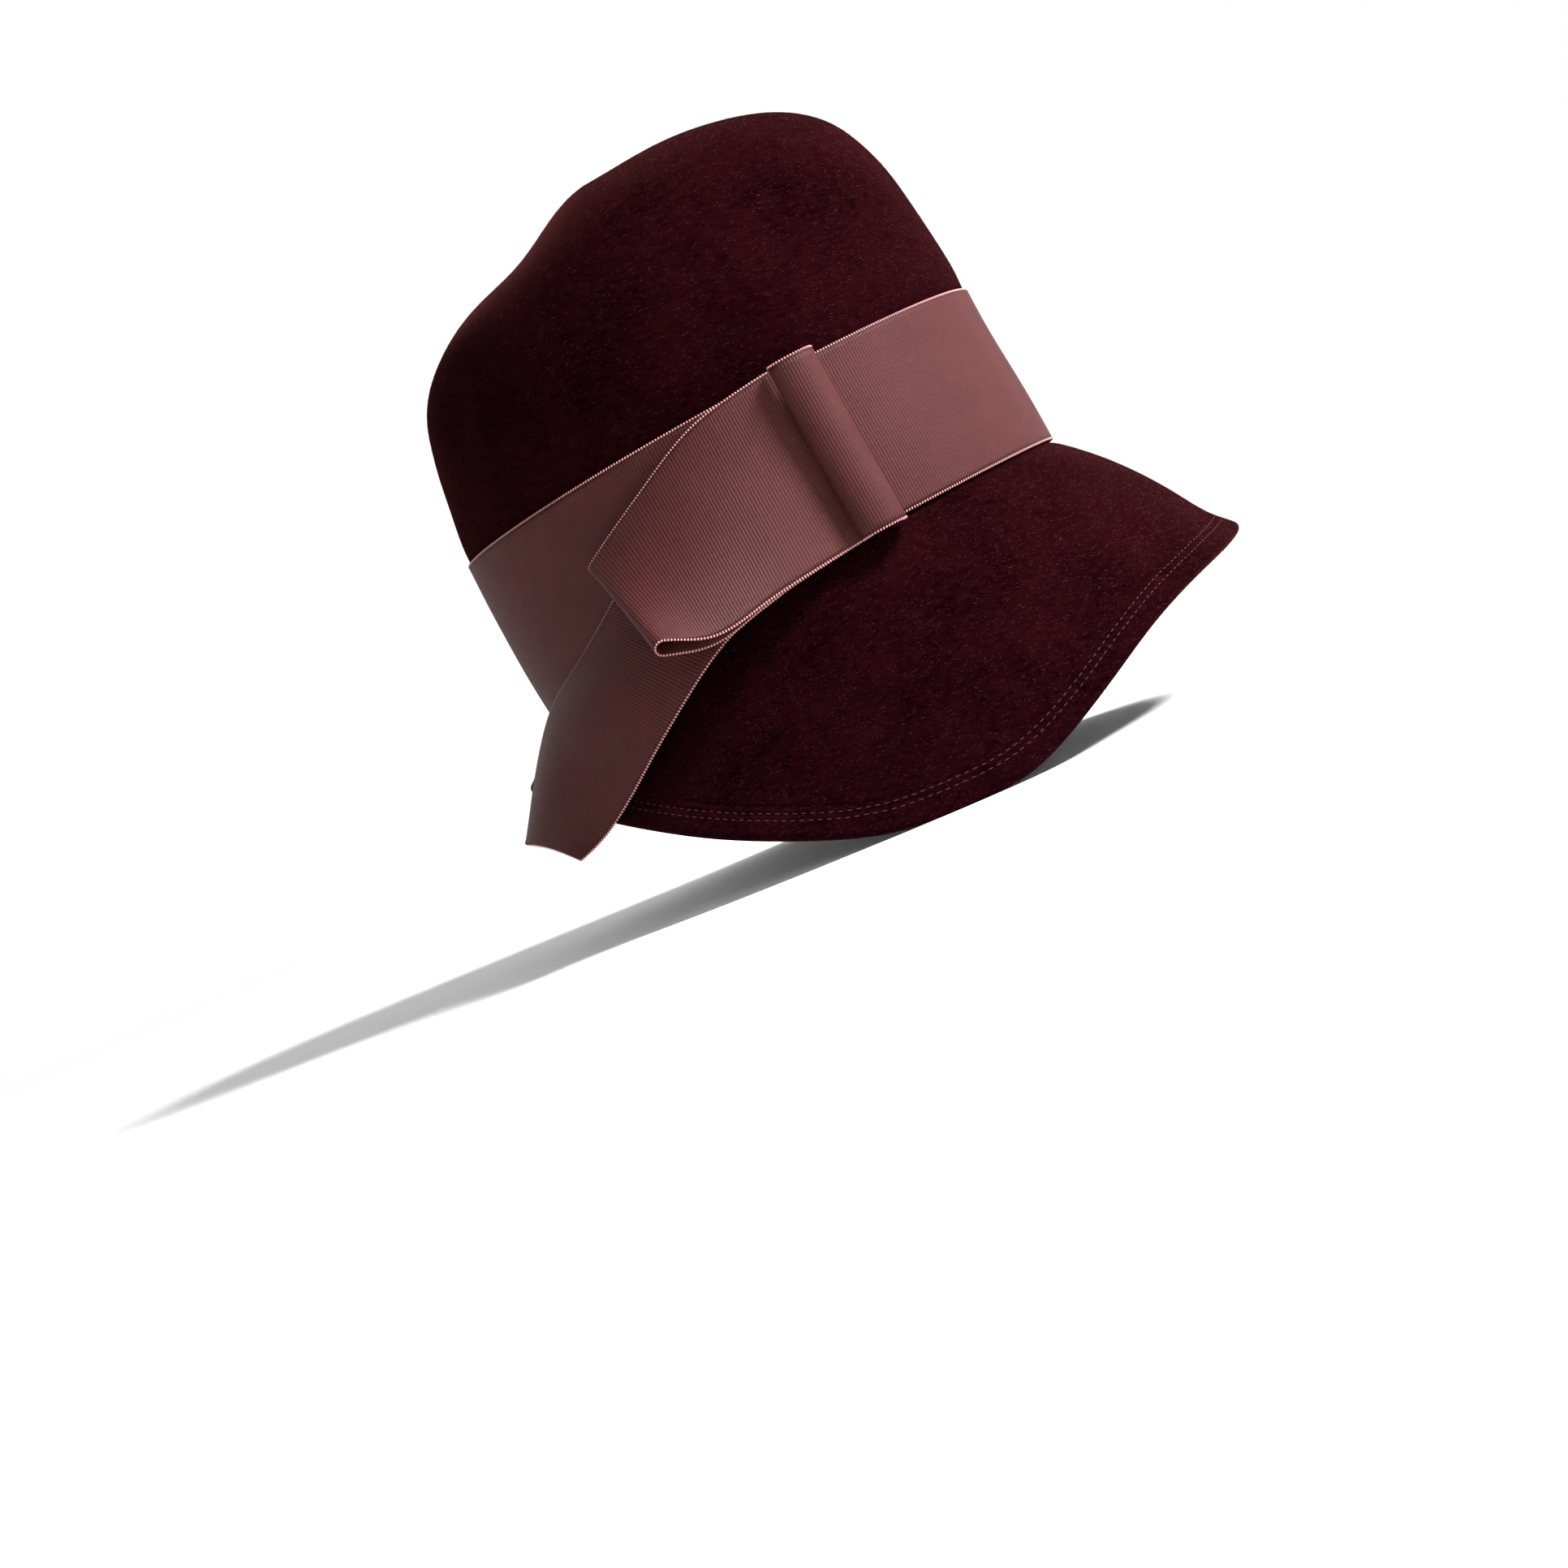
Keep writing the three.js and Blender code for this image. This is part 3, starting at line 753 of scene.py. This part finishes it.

# %% [markdown]
# A few longer hairs of the fur stand out of the nap and make the hat's outline soft. They are painted paler
# than the felt, a painted highlight, so they show as small pale flecks. Each is a slender spike set at random
# on the outside of a shell, leaning along the brushing, and none is set close to a ribbon, where the sewing
# presses the nap flat.

# %% Nap hairs
HAIRS = 15000
HAIR_LENGTH = 1.3 * MM
HAIR_WIDTH = 0.04 * MM
HAIR_SLANT = (-1.2, 0.4)
HAIR_LEAN = (0.1, 0.9)
HAIR_SHARE = (0.5, 1.0)
CLEAR_OF_RIBBON = 2.5 * MM

painted_highlight_hair, shader = new_material("fur_hairs_painted_highlight")
# Painted highlight: the hairs are the felt's own fur, coloured paler than it.
shader.inputs["Base Color"].default_value = linear("42222a")
shader.inputs["Roughness"].default_value = 0.8
shader.inputs["Specular IOR Level"].default_value = 0.1

ribbon_surfaces = [
    BVHTree.FromObject(sheet, bpy.context.evaluated_depsgraph_get())
    for sheet, _, _ in ribbon_pieces.values()
]


def clear_of_ribbons(place):
    """True where no ribbon lies close to the place."""
    return all(surface.find_nearest(place, CLEAR_OF_RIBBON)[0] is None for surface in ribbon_surfaces)


def hairs_on(shell):
    """The matrices of the hairs on a shell's outside."""
    outside = [face for face in shell.data.polygons if face.normal.dot(face.center - hat_middle) > 0]
    corners = shell.data.vertices
    matrices = []
    for face in dice.choices(outside, weights=[face.area for face in outside], k=HAIRS):
        a, b, c = (corners[i].co for i in face.vertices[:3])
        u, v = dice.random(), dice.random()
        place = b + (a - b) * u + (c - b) * v
        if not clear_of_ribbons(place):
            continue
        brushing = hat_up.cross(face.normal) + hat_up * dice.uniform(*HAIR_SLANT)
        lying = (brushing - face.normal * brushing.dot(face.normal)).normalized()
        along = (lying + face.normal * dice.uniform(*HAIR_LEAN)).normalized()
        grown = Matrix.Diagonal((dice.uniform(*HAIR_SHARE), 1, 1, 1))
        matrices.append(turned_to(place, along, face.normal) @ grown)
    return matrices


for node, shell in felt_shells.items():
    deselect_all()
    bpy.ops.mesh.primitive_cone_add(
        vertices=3,
        radius1=HAIR_WIDTH,
        depth=HAIR_LENGTH,
        end_fill_type="NOTHING",
        location=(HAIR_LENGTH / 2, 0, 0),
        rotation=(0, math.pi / 2, 0),
    )
    bpy.ops.object.transform_apply(location=True, rotation=True)
    hairs = many(node + "_hairs", bpy.context.object, hairs_on(shell), painted_highlight_hair)

# %% [markdown]
# All four ribbons are cloth that was flat and is laid on what carries it: the band on the crown, the tail on
# the band, the loop on the tail and the knot round the band. Nothing stretches them, so each keeps its area.

# %% [markdown]
# Dark velour needs one strong lamp, so that its folds turn black and its edges glow. The key stands high and
# towards the hat's front, a big soft fill stands by the camera, and the white cove sends the rest back. The
# plain display transform keeps the dark reds as deep as they are, and the paper white.

# %% Lights
LAMP_DISTANCE = 1.3


def softbox(name, direction, size, power):
    """A square lamp that looks at the hat from a direction."""
    lamp = bpy.data.lights.new(name, "AREA")
    lamp.size = size
    lamp.energy = power
    box = bpy.data.objects.new(name, lamp)
    bpy.context.scene.collection.objects.link(box)
    away = direction.normalized()
    box.location = hat_middle + away * LAMP_DISTANCE
    box.rotation_mode = "QUATERNION"
    box.rotation_quaternion = away.to_track_quat("Z", "Y")


softbox("key", upwards + rightwards * 0.45 + backwards * 0.35, size=0.35, power=68)
softbox("fill", backwards + rightwards * 0.5 + upwards * 0.1, size=1.2, power=2)

world = bpy.data.worlds.new("studio")
bpy.context.scene.world = world
world.use_nodes = True
background = world.node_tree.nodes["Background"]
background.inputs["Color"].default_value = linear("ffffff")
background.inputs["Strength"].default_value = 0.3
bpy.context.scene.view_settings.view_transform = "Standard"
